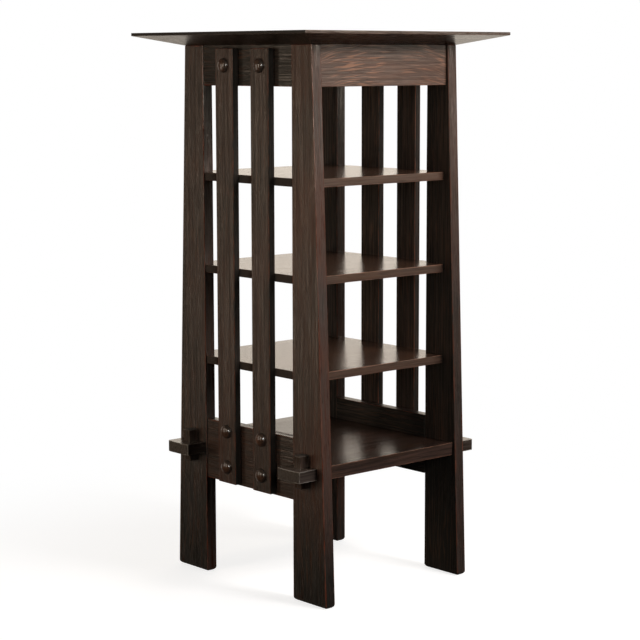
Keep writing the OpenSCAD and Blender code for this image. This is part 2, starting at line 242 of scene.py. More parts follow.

# %% [markdown]
# ## What the wood's pattern reads
#
# Every board carries its own pattern space as mesh attributes, because a plank's grain runs
# along the plank and not along the room. Five attributes are enough:
#
# - `grain`: metres along the grain, across the board and through it, from a place of its own
# - `from_middle` and `half_size`: how far a point is from the board's middle, and how far the
#   faces are. Their difference gives the distance to each face, and the second smallest of
#   the three is the distance to the nearest arris
# - `tone`: how warm and light this board came out of the fuming, with painted shade and painted light added on
#   some faces
# - `facing`: how far the face looks along the grain, across it and through the board. Ends
#   drink more stain, and only the wide faces of a quarter-sawn board show ray flecks
#
# All of them are linear over a face, so they stay exact on large faces without more vertices.
# They are stored on face corners, since two parts of one piece may meet in a vertex.

# %% Figure of fumed oak
figure = bpy.data.node_groups.new("oak figure", "ShaderNodeTree")
sockets(figure, "INPUT", "Float", "Bow", "Reach")
given_bow, given_reach = list(add(figure, "NodeGroupInput").outputs)[:2]
LAYERS = ("Growth", "Streak", "Fibre", "Pores", "Flecks", "Patina", "Wear", "Tone", "End", "Height")
sockets(figure, "OUTPUT", "Float", *LAYERS)
grain, middle, half_size, facing = (add(figure, "ShaderNodeAttribute", attribute_name=name).outputs["Vector"]
                                    for name in ("grain", "from_middle", "half_size", "facing"))
tone = add(figure, "ShaderNodeAttribute", attribute_name="tone").outputs["Fac"]
mm = add(figure, VECTOR_MATH, {0: grain, "Scale": 1000}, "SCALE")


def spots(at, size, detail, span=None, become=(0.0, 1.0), roughness=0.5, shift=None):
    """Noise with spots of this size in millimetres along the grain, across it and through the board.
    A span of its values becomes another span. With no span it stays a vector, to push patterns about."""
    at = add(figure, VECTOR_MATH, (at, tuple(1 / length for length in size)), "MULTIPLY")
    if shift:
        at = add(figure, VECTOR_MATH, (at, shift), "ADD")
    values = {"Vector": at, "Scale": 1, "Detail": detail, "Roughness": roughness}
    noise = add(figure, "ShaderNodeTexNoise", values)
    if not span:
        return noise.outputs["Color"]
    return add(figure, MAP_RANGE, (noise, *span, *become))


print("layers:", ", ".join(LAYERS))

# %% Growth lines, fibre and pores
# Growth lines wander a few millimetres over the length of a board
drift = spots(mm, (210, 60, 60), 1)
wavy = add(figure, VECTOR_MATH, (drift, (0, 7, 7), mm), "MULTIPLY_ADD")

# Growth rings are 1 to 2 mm wide in such oak and are drawn 4 mm wide, so that they show
growth = spots(wavy, (220, 4, 4), 3, (0.41, 0.59), roughness=0.75)

# The stain took warmer in some rings than in others
streak = spots(wavy, (110, 4.5, 4.5), 2, (0.5, 0.66), shift=(7, 3, 5))

# Fibre and pores: pores are 0.3 mm wide and are drawn 1.1 mm wide
fibre = spots(wavy, (30, 1.2, 1.2), 2, (0.32, 0.68))
pores = spots(wavy, (36, 1.1, 1.1), 0, (0.62, 0.74))
print("lines along the grain:", len(figure.nodes), "nodes so far")

# %% Ray flecks and patina
# Ray flecks: lens shapes 30 to 70 mm long and 2 mm wide that lean one way and the other. On a
# board cut near the middle of the log they also follow a wide bow
bow_at = add(figure, SEPARATE, {0: middle})
bow = add(figure, MATH, (bow_at, bow_at), "MULTIPLY")
bow = add(figure, MATH, (bow, given_bow), "MULTIPLY")
bow = add(figure, COMBINE, {1: bow})
lean = spots(mm, (110, 50, 50), 1)
leaning = add(figure, VECTOR_MATH, (lean, (0, 22, 22), mm), "MULTIPLY_ADD")
leaning = add(figure, VECTOR_MATH, (leaning, bow), "ADD")
flecks = spots(leaning, (46, 2.7, 50), 1, (0.54, 0.66), roughness=0.4)
clump = spots(mm, (90, 40, 40), 1, (0.36, 0.54), (0.12, 1.0))
end_grain, _, radial = add(figure, SEPARATE, {0: facing}).outputs
for share in (clump, radial):
    flecks = add(figure, MATH, (flecks, share), "MULTIPLY")

# Patina: the fuming and a century of handling left areas a hand wide darker or warmer
patina = spots(mm, (190, 90, 90), 3, (0.32, 0.68))
print("flecks and patina:", len(figure.nodes), "nodes so far")

# %% Wear and relief
# Distance to the nearest arris, as the second smallest of the three distances to faces
away = add(figure, VECTOR_MATH, {0: middle}, "ABSOLUTE")
depth = add(figure, VECTOR_MATH, (half_size, away), "SUBTRACT")
dx, dy, dz = add(figure, SEPARATE, {0: depth}).outputs
low = add(figure, MATH, (dx, dy), "MINIMUM")
high = add(figure, MATH, (dx, dy), "MAXIMUM")
high = add(figure, MATH, (high, dz), "MINIMUM")
arris = add(figure, MATH, (low, high), "MAXIMUM")

# Hands and cloths rub an arris through to warmer wood, 0.5 to 2.8 mm from it
reach = spots(mm, (34, 9, 9), 3, (0.35, 0.75), (0.5 * MM, 2.8 * MM))
reach = add(figure, MATH, (reach, given_reach), "MULTIPLY")
wear = add(figure, MATH, (arris, reach), "DIVIDE")
wear = add(figure, MAP_RANGE, (wear, 1.0, 0.2), **SMOOTH)

# Relief in millimetres: ridges of late wood, fibre, and pores as small pits
relief = add(figure, MATH, (growth, 0.16), "MULTIPLY")
for part, height in ((fibre, 0.10), (pores, -0.10)):
    relief = add(figure, MATH, (part, height, relief), "MULTIPLY_ADD")
results = (growth, streak, fibre, pores, flecks, patina, wear, tone, end_grain, relief)
add(figure, "NodeGroupOutput", results)
print("the whole figure:", len(figure.nodes), "nodes")

# %% [markdown]
# ## Finishes
#
# The wood is quarter-sawn white oak, fumed with ammonia and waxed. That gives a brown that is
# nearly black, fine darker lines along the grain, lighter ray flecks on the best boards, and
# a soft gloss. Wood is a dielectric of IOR 1.5. Shelf tops are rubbed smoother than edges,
# so their roughness is lower. One function makes each oak finish from its own colours.

# %% How a finish is made
AMBER = "#fff0dc"  # old shellac and wax tint what they reflect
PORE, END_GRAIN = "#140e0b", "#1a1310"  # dirt in the pores, and ends that drank the stain
TONE_SPAN = 0.9  # how far its tone moves a board from dark to light
GROWTH_SHARE, FIBRE_SHARE, STREAK_SHARE, PORE_SHARE, END_ROUGHER = 0.8, 0.2, 0.6, 0.4, 0.6
LEVEL_FROM, LEVEL_TO = 0.8, 0.95  # the upward part of a normal, from where a face begins to be level


def oak(name, dark, light, warm, fleck, worn_and_glint, flecks, rub, matt, polished=None, relief=1.0, bow=0.0, ends=0.75,
        shine=0.5, reach=1.0):
    """A finish from five hex colours; the fifth lies on the arrises, as wear, and as a painted highlight
    on the tenons. flecks is how much its ray flecks show, and rub how much the arris colour shows where
    its tone is darkest and lightest. matt is its roughness from smooth to matt, and polished the same on
    level faces. Then come the strength of its relief, the bow of its flecks in mm at one metre, and how
    much darker its ends are. A shine of 0.5 is a full film of finish, and at a reach of 1 the arris
    colour is about 1.4 mm wide."""
    material = bpy.data.materials.new(name)
    tree = bare_tree(material)
    group = add(tree, "ShaderNodeGroup", node_tree=figure)
    group.inputs["Bow"].default_value, group.inputs["Reach"].default_value = bow, reach
    wood = group.outputs
    line = add(tree, MATH, (wood["Tone"], TONE_SPAN, -TONE_SPAN / 2), "MULTIPLY_ADD")
    line = add(tree, MATH, (wood["Growth"], GROWTH_SHARE, line), "MULTIPLY_ADD")
    line = add(tree, MATH, (wood["Fibre"], FIBRE_SHARE, line), "MULTIPLY_ADD", use_clamp=True)
    cast = add(tree, MATH, (wood["Streak"], STREAK_SHARE, wood["Patina"]), "MULTIPLY_ADD")
    cast = add(tree, MATH, (cast, wood["Tone"]), "MULTIPLY", use_clamp=True)
    rub_at = add(tree, MAP_RANGE, {0: wood["Tone"], 3: rub[0], 4: rub[1]})
    show, pit, bared_and_glint, drunk = (
        add(tree, MATH, (wood[layer], share), "MULTIPLY")
        for layer, share in (("Flecks", flecks), ("Pores", PORE_SHARE), ("Wear", rub_at), ("End", ends)))
    colour = paint(dark)
    for share, code in ((line, light), (cast, warm), (show, fleck), (pit, PORE), (bared_and_glint, worn_and_glint),
                        (drunk, END_GRAIN)):
        colour = add(tree, "ShaderNodeMix", {0: share, 6: colour, 7: paint(code)}, data_type="RGBA").outputs[2]
    rough = add(tree, MAP_RANGE, {0: wood["Growth"], 3: matt[1], 4: matt[0]})
    if polished:
        normal = add(tree, "ShaderNodeNewGeometry").outputs["Normal"]
        lift = add(tree, SEPARATE, {0: normal}).outputs["Z"]
        level = add(tree, MAP_RANGE, (lift, LEVEL_FROM, LEVEL_TO))
        rubbed = add(tree, MAP_RANGE, {0: wood["Growth"], 3: polished[0], 4: polished[1]})
        rough = add(tree, "ShaderNodeMix", {0: level, 2: rough, 3: rubbed})
    rough = add(tree, MATH, (wood["End"], END_ROUGHER, rough), "MULTIPLY_ADD")
    bump = add(tree, "ShaderNodeBump", {"Strength": relief, "Distance": MM, "Height": wood["Height"]})
    skin = add(tree, "ShaderNodeBsdfPrincipled", {
        "Base Color": colour, "Roughness": rough, "Normal": bump, "IOR": 1.5,
        "Specular IOR Level": shine, "Specular Tint": paint(AMBER)})
    add(tree, "ShaderNodeOutputMaterial", {"Surface": skin})
    return material


print("its tone moves a board by", TONE_SPAN, "between dark and light")

# %% Oak finishes
finishes = {
    # Legs, slats, rails and side aprons: nearly black brown
    "oak_frame": oak("Fumed oak, waxed", "#0c0906", "#62544c", "#623828", "#6e4630", "#7c3c26",
                     0.35, (1.0, 0.5), (0.16, 0.54), reach=1.7),
    # Faces that look in take this finish as painted shade: darker colours, and a thin and dull film
    "inner": oak("Fumed oak, painted shade inside", "#140e0a", "#54433a", "#5a3426", "#6e4630", "#743a22",
                 0.3, (0.9, 0.3), (0.45, 0.62), relief=0.7, shine=0.25),
    # The front apron is the showpiece board, with strong flecks
    "oak_apron": oak("Fumed oak, quarter-sawn, waxed", "#382a23", "#776053", "#6e4836", "#a87558", "#7d4b34",
                     0.9, (0.2, 0.6), (0.3, 0.42), bow=700.0),
    "oak_top": oak("Fumed oak, waxed top", "#2a1f19", "#5e4c40", "#5c4132", "#7d5038", "#957a6a",
                   0.5, (0.5, 1.0), (0.2, 0.3), (0.25, 0.35), ends=0.9),
    # A shelf's top is rubbed smooth by what slides on it
    "oak_shelf": oak("Fumed oak, rubbed shelf", "#33261f", "#654d40", "#60422f", "#7d5038", "#a07058",
                     0.3, (0.4, 1.0), (0.34, 0.46), (0.13, 0.19), 0.5),
    "keyed_shelf": oak("Fumed oak, used shelf", "#281d17", "#56423a", "#60422f", "#7d5038", "#a07058",
                       0.3, (0.4, 1.0), (0.26, 0.38), (0.2, 0.27), 0.25, shine=0.3),
    # Hands and boots have rubbed the tenons grey; the pale colour on their arrises is a painted highlight
    "tenon": oak("Fumed oak, bruised tenon", "#28221e", "#554b44", "#54443a", "#6e4630", "#b3a99d",
                 0.2, (0.4, 1.0), (0.14, 0.24), relief=0.4, ends=0.0),
    "oak_plug": oak("Turned oak, polished", "#3a271d", "#6e4e3a", "#7a4a2e", "#7d5038", "#80492b",
                    0.2, (0.0, 0.0), (0.3, 0.4), relief=0.3, shine=0.3),
    "oak_key": oak("Fumed oak, handled", "#2c231e", "#5c4f46", "#5a3f30", "#6e4630", "#7d6e62",
                   0.2, (0.3, 0.9), (0.18, 0.28), relief=0.4),
    "cleat_wood": oak("Plain sawn oak, unfinished", "#5a4332", "#8a6a4e", "#7d5c40", "#9a7a5c", "#8f6d50",
                      0.3, (0.25, 0.75), (0.6, 0.75)),
}
# A plug's crown was sealed and polished on the lathe: a thin clear coat over the oak
coat = finishes["oak_plug"].node_tree.nodes["Principled BSDF"].inputs
coat["Coat Weight"].default_value, coat["Coat Roughness"].default_value = 0.8, 0.05
print("oak finishes:", ", ".join(m.name for m in finishes.values()))

# %% [markdown]
# ## Boards
#
# A plank from the workshop has no knife-sharp arris: a plane stroke and wear round it by about
# a millimetre. The CAD nodes hold all the joinery, so each board starts as a copy of its node's
# mesh: loose triangles are merged, flat ones joined into whole faces, and the arrises rounded.
# A bevel over every edge would also round mortises and shoulders, where wood meets wood. So
# only edges that lie on two outer faces of the board are taken, by the same rule that
# measures wear.


# %% Rules for where a board's faces are
AT_HEIGHT, ON_FACE = 0.05 * MM, 0.25 * MM  # how near a point must be to count as there


def section(node, z):
    """Lowest and highest corner of a CAD node's vertices at height z."""
    points = [v.co for v in frame["nodes"][node].data.vertices if abs(v.co.z - z) < AT_HEIGHT]
    return tuple(Vector(f(p[i] for p in points) for i in range(3)) for f in (min, max))


def board(low, high, butting="", upper=None):
    """A rule: a point's place from the board's middle, and the half size there. butting names the sides
    that meet other wood, x or X for the low or high side, and moves them a metre away. upper is a
    second (low, high) at the top, where a board tapers."""
    far_low = Vector([float(a in butting) for a in "xyz"])
    far_high = Vector([float(a in butting) for a in "XYZ"])
    low_up, high_up = upper or (low, high)
    z0, z1 = low.z, high.z

    def rule(co):
        share = (co.z - z0) / (z1 - z0)
        a, b = low.lerp(low_up, share) - far_low, high.lerp(high_up, share) + far_high
        a.z, b.z = z0 - far_low.z, z1 + far_high.z
        return co - (a + b) / 2, (b - a) / 2

    return rule


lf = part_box("leg_front_left")
print("left front leg from", [round(x / MM, 1) for x in lf[0]], "to", [round(x / MM, 1) for x in lf[1]], "mm")


# %% Rounding arrises
SMOOTH_BELOW, ARRIS_ABOVE, FLAT_BELOW = math.radians(12), math.radians(30), math.radians(0.2)
ONE_POINT = 1e-6  # metres: what lies closer is one point


def mid(edge):
    """The middle of an edge."""
    return (edge.verts[0].co + edge.verts[1].co) / 2


def arrises(bm, rule_at):
    """Outer edges of a board: they are convex, and both ends lie on the same two outer faces."""
    found = []
    for edge in bm.edges:
        if len(edge.link_faces) == 2 and edge.calc_face_angle_signed(0) > ARRIS_ABOVE:
            rule = rule_at(mid(edge))
            ends = (rule(v.co) for v in edge.verts)
            first, second = ({i for i in range(3) if half[i] - abs(at[i]) < ON_FACE} for at, half in ends)
            if len(first & second) >= 2:
                found.append(edge)
    return found


def whole_faces(mesh):
    """A bmesh of a mesh with its doubles merged and its flat triangles joined."""
    bm = bmesh.new()
    bm.from_mesh(mesh)
    bmesh.ops.remove_doubles(bm, verts=bm.verts, dist=ONE_POINT)
    bmesh.ops.dissolve_limit(bm, angle_limit=FLAT_BELOW, verts=bm.verts, edges=bm.edges)
    return bm


def round_over(bm, edges, radius, segments=3):
    """Rounds the edges, and leaves sharp what is neither rounded nor part of a curve."""
    strips = set(bmesh.ops.bevel(bm, geom=edges, offset=radius, segments=segments, profile=0.5,
                                 affect="EDGES", clamp_overlap=True)["faces"])
    for edge in bm.edges:
        edge.smooth = edge.calc_face_angle(0) < SMOOTH_BELOW or any(f in strips for f in edge.link_faces)
    for face in bm.faces:
        face.smooth = True


print("arrises are edges that turn by more than", round(math.degrees(ARRIS_ABOVE)), "degrees")


# %% The attributes
def stamp(mesh, axes, rule_at, shift_of, tone_of):
    """Writes the attributes. axes names the directions along the grain, across and through."""
    order = ["xyz".index(a) for a in axes]
    values = {"grain": [], "from_middle": [], "half_size": [], "facing": [], "tone": []}
    for face in mesh.polygons:
        rule, shift = rule_at(face.center), shift_of(face.center)
        for i in face.loop_indices:
            co = mesh.vertices[mesh.loops[i].vertex_index].co
            middle, half_size = rule(co)
            values["grain"].extend(Vector([co[k] for k in order]) + shift)
            values["from_middle"].extend(middle)
            values["half_size"].extend(half_size)
            values["facing"].extend(abs(face.normal[k]) for k in order)
            values["tone"].append(tone_of(face.center, co))
    for name, numbers in values.items():
        single = name == "tone"
        layer = mesh.attributes.new(name, "FLOAT" if single else "FLOAT_VECTOR", "CORNER")
        layer.data.foreach_set("value" if single else "vector", numbers)


def always(value):
    """A function of a place that has one answer everywhere."""
    return lambda _: value


def own_shift(name):
    """A place of its own in the wood for each board, up to 4 m away and the same at every run."""
    draw = random.Random(name)
    return Vector([draw.uniform(-4, 4) for _ in range(3)])


print("the top's place in the wood:", own_shift("top_board"))

# %% Faces that look into the stand
NEAR_SIDE = 2 * MM  # the middle of a face belongs to a side of its board when it is nearer than this
INSIDE_SHADE = 0.3  # painted shade: how much darker in tone a face is made that looks in


def looks_in(node, way):
    """A test for the middle of a board's face: does it look into the stand? way is the axis through the
    board, and a board that lies flat has no such face."""
    axis = "xyz".index(way)
    limit = min(abs(corner[axis]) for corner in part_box(node)) + NEAR_SIDE
    return lambda middle: way != "z" and abs(middle[axis]) < limit


def with_inside_shade(tone, hidden):
    """The tone of a board's faces, with painted shade: what looks into the stand is made darker."""
    return lambda middle, co: tone - INSIDE_SHADE if hidden(middle) else tone


def give(obj, finish, test):
    """Gives the faces whose middle passes a test another finish."""
    obj.data.materials.append(finishes[finish])
    for face in obj.data.polygons:
        face.material_index = int(test(face.center))


print("what looks in is", INSIDE_SHADE, "darker in tone")


# %% Finished pieces
def evaluated(obj):
    """The plain mesh that an object's modifiers make. It takes the place of the object's own mesh."""
    bpy.context.view_layer.update()
    made = bpy.data.meshes.new_from_object(obj.evaluated_get(bpy.context.evaluated_depsgraph_get()))
    obj.modifiers.clear()
    obj.data = made
    return obj


def stands_for(obj, nodes):
    """The piece takes the place of its CAD nodes, which are hidden, and moves with the body that they move
    with.
    """
    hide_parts(*nodes)
    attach(obj, body_of[nodes[0]])


def finish_piece(name, bm, nodes, axes, rule_at, shift_of, tone_of):
    """Turns a worked bmesh into a finished piece."""
    bmesh.ops.dissolve_degenerate(bm, dist=ONE_POINT, edges=bm.edges)
    mesh = bpy.data.meshes.new(name)
    bm.to_mesh(mesh)
    bm.free()
    obj = new_object(name, mesh)
    obj.modifiers.new("normals", "WEIGHTED_NORMAL").keep_sharp = True
    evaluated(obj)
    obj.data.materials.clear()
    obj.data.materials.append(finishes.get(nodes[0], finishes[slot_of[nodes[0]]]))
    stamp(obj.data, axes, rule_at, shift_of, tone_of)
    stands_for(obj, nodes)
    return obj


def make_board(node, axes, rule_at, radius=1.0, tone=0.5, shaped=None, soft=None):
    """One board as a finished piece, with its arrises rounded to a radius in millimetres. tone is a
    number, or a function of a face's middle and of the place in it. shaped works the board first. soft
    is a test and a radius: arrises whose middle passes it get that radius."""
    bm = whole_faces(frame["nodes"][node].data)
    if shaped:
        shaped(bm)
    edges = arrises(bm, rule_at)
    count = len(edges)
    if soft:
        test, soft_radius = soft
        round_over(bm, [e for e in edges if test(mid(e))], soft_radius * MM)
        edges = [e for e in arrises(bm, rule_at) if not test(mid(e))]
    round_over(bm, edges, radius * MM)
    tone_of = tone if callable(tone) else with_inside_shade(tone, looks_in(node, axes[2]))
    obj = finish_piece(node + "_wood", bm, [node], axes, rule_at, always(own_shift(node)), tone_of)
    print(f"{obj.name}: {count} arrises, {len(obj.data.polygons)} faces")
    return obj


print("finishes for slots", sorted(set(slot_of.values()) & set(finishes)))

# %% [markdown]
# ## Legs
#
# Each leg is a plank whose wide face looks to the side and whose outer edge leans outwards
# towards the floor. Its grain runs up. The rule takes two sections, at the foot and under the
# top, so the leaning edge is measured as well as the upright one. The feet have been pushed
# over floors for a century: they are rounded all round. Towards the floor each leg is painted
# darker, as shade.

# %% Shape and tone of a leg
CAD_EASE = 2.5 * MM  # the CAD's feet are eased this far up
FOOT_RADIUS, FOOT_STEPS = 7 * MM, 8
NUDGE = 0.01 * MM
FLOOR_SHADE_FROM, FLOOR_SHADE_TONE = 0.28, -0.15  # where the painted shade towards the floor begins, in metres, and the tone at the floor
LEG_TONES = {"leg_front_left": 0.68, "leg_front_right": 0.42, "leg_back_left": 0.27, "leg_back_right": 0.35}
# Painted light and shade on some edges that look forwards: their tones at the floor and under the top
EDGE_LIGHT_TONES = {"leg_front_right": (0.18, 0.42), "leg_back_left": (0.85, 0.22), "leg_back_right": (0.4, 0.35)}


def tapered(node, inset_low, inset_high):
    """The rule of a board that tapers upwards, from sections a little inside its two ends."""
    lo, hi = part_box(node)
    foot_low, foot_high = section(node, lo.z + inset_low)
    head_low, head_high = section(node, hi.z - inset_high)
    foot_low.z = head_low.z = lo.z
    foot_high.z = head_high.z = hi.z
    return board(foot_low, foot_high, upper=(head_low, head_high))


def with_round_foot(rule):
    """The same rule for a leg whose foot rounds in towards the floor."""

    def rounded(co):
        place, half = rule(co)
        short = max(0.0, 1 - co.z / FOOT_RADIUS)
        inset = FOOT_RADIUS * (1 - math.sqrt(max(0.0, 1 - short * short)))
        return place, half - Vector((inset, inset, 0))

    return rounded


def shape_foot(bm, rule):
    """Cuts rings round a foot and moves them onto its curve, and one ring more where the painted shade begins.
    """
    turns = [math.radians(90 * i / FOOT_STEPS) for i in range(1, FOOT_STEPS + 1)]
    for z in [FOOT_RADIUS * (1 - math.cos(a)) for a in turns] + [FLOOR_SHADE_FROM]:
        whole = [*bm.verts, *bm.edges, *bm.faces]
        bmesh.ops.bisect_plane(bm, geom=whole, plane_co=(0, 0, z), plane_no=(0, 0, 1), dist=ONE_POINT)
    for vert in bm.verts:
        if vert.co.z < FOOT_RADIUS + NUDGE:
            place, half = rule(vert.co)
            vert.co += Vector([math.copysign(half[i], place[i]) - place[i] for i in (0, 1)] + [0])
    # Some rings crossed a face's diagonal too, and that point is now in the corner as well
    bmesh.ops.remove_doubles(bm, verts=bm.verts, dist=NUDGE)


def leg_tone(node, rule, hidden):
    """The tone of a leg: painted shade darkens it towards the floor, but some edges that look forwards take
    painted light and shade of their own.
    """
    wide = with_inside_shade(LEG_TONES[node], hidden)
    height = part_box(node)[1].z

    def tone_at(middle, co):
        place, half = rule(middle)
        if node in EDGE_LIGHT_TONES and place.y < NEAR_SIDE - half.y:
            at_floor, at_top = EDGE_LIGHT_TONES[node]
            return at_floor + (at_top - at_floor) * co.z / height
        tone = wide(middle, co)
        return tone + (FLOOR_SHADE_TONE - tone) * max(0.0, 1 - co.z / FLOOR_SHADE_FROM)

    return tone_at


print("feet are rounded to", round(FOOT_RADIUS / MM), "mm")

# %% Legs
for node in LEG_TONES:
    rule = with_round_foot(tapered(node, CAD_EASE, 0))
    hidden = looks_in(node, "x")
    leg = make_board(node, "zyx", always(rule), radius=1.3, tone=leg_tone(node, rule, hidden),
                     shaped=lambda bm, rule=rule: shape_foot(bm, rule))
    give(leg, "inner", hidden)

# %% [markdown]
# ## Aprons, rails, shelves, keys and cleats
#
# These are straight boards, so a box is rule enough. Sides that butt against another board are
# left out of it: no hand ever wore them. A key tapers, so it takes the legs' kind of rule.

# %% Straight boards
# node: (grain axes, butting sides, tone)
STRAIGHT = {
    "apron_front": ("xzy", "xXZ", 0.55),
    "apron_back": ("xzy", "xXZ", 0.5),
    # The left apron's low tone is painted shade: it sits back between the slats
    "apron_left": ("yzx", "yYZ", 0.02),
    "apron_right": ("yzx", "yYZ", 0.4),
    "rail_left": ("yzx", "yY", 0.22),
    "rail_right": ("yzx", "yY", 0.22),
    "shelf_upper": ("xyz", "", 0.62),
    "shelf_middle": ("xyz", "", 0.62),
    "shelf_lower": ("xyz", "", 0.6),
    "cleat_front": ("xyz", "Z", 0.5),
    "cleat_back": ("xyz", "Z", 0.4),
}
for node, (axes, butting, tone) in STRAIGHT.items():
    piece = make_board(node, axes, always(board(*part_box(node), butting)), tone=tone)
    if node.startswith(("rail", "apron")):
        give(piece, "inner", looks_in(node, axes[2]))

# %% Keys
KEY_BEVEL = 1.5 * MM
KEY_TONES = {"key_front_left": 0.45, "key_front_right": 0.55, "key_back_left": 0.4, "key_back_right": 0.5}
for node, tone in KEY_TONES.items():
    make_board(node, "zyx", always(tapered(node, KEY_BEVEL, KEY_BEVEL)), radius=0.9, tone=tone)

# %% [markdown]
# ## Keyed shelf
#
# This board passes through the legs in four tenons, so it has three rules: one for its middle,
# one for the front tenons and one for the back ones. A face beyond the legs' inner faces takes
# a tenon's rule. The tenon's end is bowed, so its rule follows the bow.

# %% Keyed shelf
shelf_low, shelf_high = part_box("keyed_shelf")
TENON_IN_Y, TENON_OUT_Y, TENON_T = 130 * MM, 190 * MM, 20.5 * MM
SHOULDER_X, BOW = 155.5 * MM, 3 * MM
middle_rule = board(Vector((-SHOULDER_X, *shelf_low.yz)), Vector((SHOULDER_X, *shelf_high.yz)), "xX")


def tenon_rule(end):
    """The rule of the tenons at the front (-1) or back (1). It measures left and right from the middle."""
    mid_y = end * (TENON_IN_Y + TENON_OUT_Y) / 2
    half_y = (TENON_OUT_Y - TENON_IN_Y) / 2
    mid_z = shelf_low.z + TENON_T / 2

    def rule(co):
        tip = shelf_high.x - BOW * min(1, ((co.y - mid_y) / half_y) ** 2)
        return Vector((co.x, co.y - mid_y, co.z - mid_z)), Vector((tip, half_y, TENON_T / 2))

    return rule


tenon_rules = {end: tenon_rule(end) for end in (-1, 1)}


def on_tenon(co):
    """Is this place beyond the legs' inner faces?"""
    return abs(co.x) > SHOULDER_X


def keyed_rule(co):
    """The rule at a place: a tenon's in each corner, and the middle's between them."""
    return tenon_rules[1 if co.y > 0 else -1] if on_tenon(co) else middle_rule


def keyed_shade_tone(middle, co):
    """The top is painted darker, as shade under the shelf above, and the edges are lighter."""
    return 0.1 if middle.z > shelf_high.z - MM / 2 else 0.5


keyed = make_board("keyed_shelf", "xyz", keyed_rule, tone=keyed_shade_tone, soft=(on_tenon, 2.2))
give(keyed, "tenon", on_tenon)

# %% [markdown]
# ## Top
#
# The top is one wide board. A deep bevel under its edges leaves a rim as thin as a pencil. Its
# rule is centred on that rim, so both arrises of the rim are eased and worn.

# %% Top
RIM = 5.5 * MM
low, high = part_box("top_board")
rim_rule = board(Vector((low.x, low.y, high.z - RIM)), high)


def top_shade_tone(middle, co):
    """The underside and its bevel are painted darker, as shade."""
    return 0.58 if middle.z > high.z - RIM - MM else 0.1


make_board("top_board", "xyz", always(rim_rule), radius=1.2, tone=top_shade_tone)

# %% [markdown]
# ## Geometry Nodes for what repeats
#
# Slats, plugs and screws are each one shape in many places. A node tree makes the shape from
# named sizes and puts it on points. Four helpers serve all three: one starts a tree with its
# inputs, one moves a shape, one ends the tree, and the last runs it and keeps the plain mesh.


# %% Helpers for trees
def plant(name, sizes):
    """A geometry tree with one named input for each size, and the outputs of its input node."""
    tree = bpy.data.node_groups.new(name, "GeometryNodeTree")
    sockets(tree, "INPUT", "Float", *sizes)
    sockets(tree, "INPUT", "Material", "Finish")
    sockets(tree, "OUTPUT", "Geometry", "Geometry")
    return tree, add(tree, "NodeGroupInput").outputs


def moved(tree, shape, y=0.0, z=0.0, turned=(0, 0, 0)):
    """A shape turned, then moved along Y and Z."""
    place = add(tree, COMBINE, {1: y, 2: z})
    return add(tree, "GeometryNodeTransform", {"Geometry": shape, "Translation": place, "Rotation": turned})


def close_tree(tree, given, instances):
    """Ends a tree as every tree here ends: real meshes, then the finish."""
    real = add(tree, "GeometryNodeRealizeInstances", {0: instances})
    done = add(tree, "GeometryNodeSetMaterial", {"Geometry": real, "Material": given["Finish"]})
    add(tree, "NodeGroupOutput", {0: done})


def grow(name, tree, values, finish):
    """The object that a tree makes from these values."""
    obj = new_object(name, bpy.data.meshes.new(name))
    modifier = obj.modifiers.new(name, "NODES")
    modifier.node_group = tree
    for item in tree.interface.items_tree:
        if item.in_out == "INPUT":
            modifier[item.identifier] = finish if item.name == "Finish" else values[item.name]
    return evaluated(obj)


print("trees take sizes in metres")

# %% [markdown]
# ## Slats
#
# Two slats stand on each side, against the apron's and the rail's outer faces. Each has three
# round seats for plugs, with a countersunk hole behind. The tree makes one slat with its front
# to +Y, cuts the seats, and stands it on two points of a line. The same pair, turned half
# round, is the other side's.


# %% Places on both sides
def on_both_sides(tree, shape, apart, out, heights, tilt=0, turn=0, spin=None):
    """Stands a shape at plus and minus apart on X, out on Y, at each height, and again half a turn
    round the stand. tilt leans it about X first, and turn moves the whole about Z, both in degrees.
    spin turns each one in its own axes."""
    rows = []
    less = add(tree, MATH, (apart, -1), "MULTIPLY")
    for height in heights:
        left, right = (add(tree, COMBINE, (x, out, height)) for x in (less, apart))
        rows.append(add(tree, "GeometryNodeMeshLine", {"Count": 2, 2: left, 3: right}, mode="END_POINTS"))
    points = add(tree, "GeometryNodeJoinGeometry", {0: rows})
    lean = (math.radians(tilt), 0, 0)
    side = add(tree, "GeometryNodeInstanceOnPoints", {"Points": points, "Instance": shape, "Rotation": lean})
    if spin:
        side = add(tree, "GeometryNodeRotateInstances", {"Instances": side, "Rotation": spin})
    other = add(tree, "GeometryNodeTransform", {"Geometry": side, "Rotation": (0, 0, math.pi)})
    sides = add(tree, "GeometryNodeJoinGeometry", {0: [side, other]})
    return add(tree, "GeometryNodeTransform", {"Geometry": sides, "Rotation": (0, 0, math.radians(turn))})


print("places come in pairs, left and right")

# %% Slat tree
lo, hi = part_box("slat_right_back")
SLAT_NODES = [f"slat_{side}_{end}" for side in ("left", "right") for end in ("front", "back")]
SLAT = {"Width": hi.y - lo.y, "Thickness": hi.x - lo.x, "Length": hi.z - lo.z, "Foot": lo.z, "Back": lo.x,
        "Apart": (lo.y + hi.y) / 2}
SEAT = {"Seat Diameter": 26.2 * MM, "Seat Depth": 6 * MM, "Hole Diameter": 4.1 * MM, "Sink Diameter": 8.1 * MM,
        "Sink Depth": 3 * MM}
PLUGS_AT = {"Low Plug": 218 * MM, "Middle Plug": 284.5 * MM, "High Plug": 956.5 * MM}
UPRIGHT_TO_Y = (math.radians(-90), 0, 0)

tree, given = plant("slats", (*SLAT, *SEAT, *PLUGS_AT))
size = add(tree, COMBINE, (given["Width"], given["Thickness"], given["Length"]))
bar = add(tree, "GeometryNodeMeshCube", {"Size": size})
mid_z = add(tree, MATH, (given["Length"], 0.5, given["Foot"]), "MULTIPLY_ADD")
bar = moved(tree, bar, z=mid_z)

